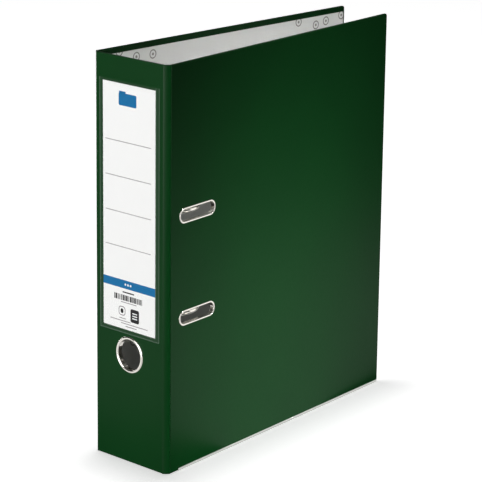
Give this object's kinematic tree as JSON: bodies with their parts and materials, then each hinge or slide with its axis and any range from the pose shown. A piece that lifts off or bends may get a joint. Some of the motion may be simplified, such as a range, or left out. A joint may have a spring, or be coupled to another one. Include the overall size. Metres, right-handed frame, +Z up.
{
  "type": "lever arch file",
  "caption": "Dark green board lever arch file for A4 paper: hinged covers and spine, label pocket, finger ring, slotted metal eyelets, metal edge shoes and a riveted lever arch mechanism.",
  "frame": {"origin": "middle of the base, on the surface that the file stands on", "axes": "+Z up, spine towards -Y, front cover towards +X, rear cover towards -X, free edges towards +Y"},
  "size_m": [0.0808, 0.2859, 0.318],
  "materials": {
    "case_film": "dark green polypropylene film, fine grain, semi-gloss",
    "greyboard": "raw greyboard",
    "lining_paper": "light grey printed paper",
    "edge_steel": "nickel-plated steel edge",
    "plated_steel": "bright nickel plate",
    "spring_steel": "blued spring steel",
    "black_plastic": "moulded black plastic",
    "clear_film": "clear soft film",
    "label_paper": "white printed card"
  },
  "bodies": {
    "rear_cover": {"rear_board": "greyboard", "rear_cover_film": "case_film", "rear_lining": "lining_paper", "rear_edge_shoe": "edge_steel", "rear_hinge_strip": "case_film", "base_plate": "plated_steel", "fixed_post_lower": "plated_steel", "fixed_post_upper": "plated_steel", "lever_pivot_pin": "plated_steel", "base_rivets": "plated_steel", "crank_spring": "spring_steel", "spring_rivet": "plated_steel"},
    "spine": {"spine_board": "greyboard", "spine_film": "case_film", "spine_lining": "lining_paper", "finger_ring": "plated_steel", "finger_ring_washer": "plated_steel", "label_pocket": "clear_film", "front_hinge_strip": "case_film"},
    "front_cover": {"front_board": "greyboard", "front_cover_film": "case_film", "front_lining": "lining_paper", "front_edge_shoe": "edge_steel", "rado_eyelet_lower": "plated_steel", "rado_eyelet_upper": "plated_steel", "rado_washer_lower": "plated_steel", "rado_washer_upper": "plated_steel"},
    "arches": {"arch_wire": "plated_steel"},
    "lever_arm": {"lever": "plated_steel", "roller_pin": "plated_steel", "thumb_grip": "black_plastic"},
    "lever_roller": {"roller": "plated_steel"},
    "compressor": {"compressor_bar": "plated_steel", "compressor_sleeve_lower": "black_plastic", "compressor_sleeve_upper": "black_plastic"},
    "label": {"label_card": "label_paper"}
  },
  "joints": [
    {"name": "spine_hinge", "type": "hinge", "parent": "rear_cover", "child": "spine", "pos_m": [-0.03775, -0.14025, 0.159], "axis": [0, 0, -1], "range_deg": [0, 90], "deforming": ["rear_hinge_strip"]},
    {"name": "front_hinge", "type": "hinge", "parent": "spine", "child": "front_cover", "pos_m": [0.03775, -0.14025, 0.159], "axis": [0, 0, -1], "range_deg": [0, 175], "deforming": ["front_hinge_strip"]},
    {"name": "lever_hinge", "type": "hinge", "parent": "rear_cover", "child": "lever_arm", "pos_m": [-0.02615, -0.0955, 0.1615], "axis": [0, 0, 1], "range_deg": [0, 85]},
    {"name": "arches_hinge", "type": "hinge", "parent": "rear_cover", "child": "arches", "pos_m": [-0.0332, -0.1255, 0.1615], "axis": [0, 0, -1], "range_deg": [0, 13]},
    {"name": "roller_spin", "type": "hinge", "parent": "lever_arm", "child": "lever_roller", "pos_m": [-0.02615, -0.1115, 0.1615], "axis": [0, 0, 1], "continuous": true},
    {"name": "compressor_slide", "type": "slide", "parent": "rear_cover", "child": "compressor", "axis": [1, 0, 0], "range_m": [0, 0.035]},
    {"name": "label_slide", "type": "slide", "parent": "spine", "child": "label", "axis": [0, 0, 1], "range_m": [0, 0.2]}
  ],
  "couplings": [
    {"joint": "arches_hinge", "follows": "lever_hinge", "ratio": 0.1529}
  ]
}
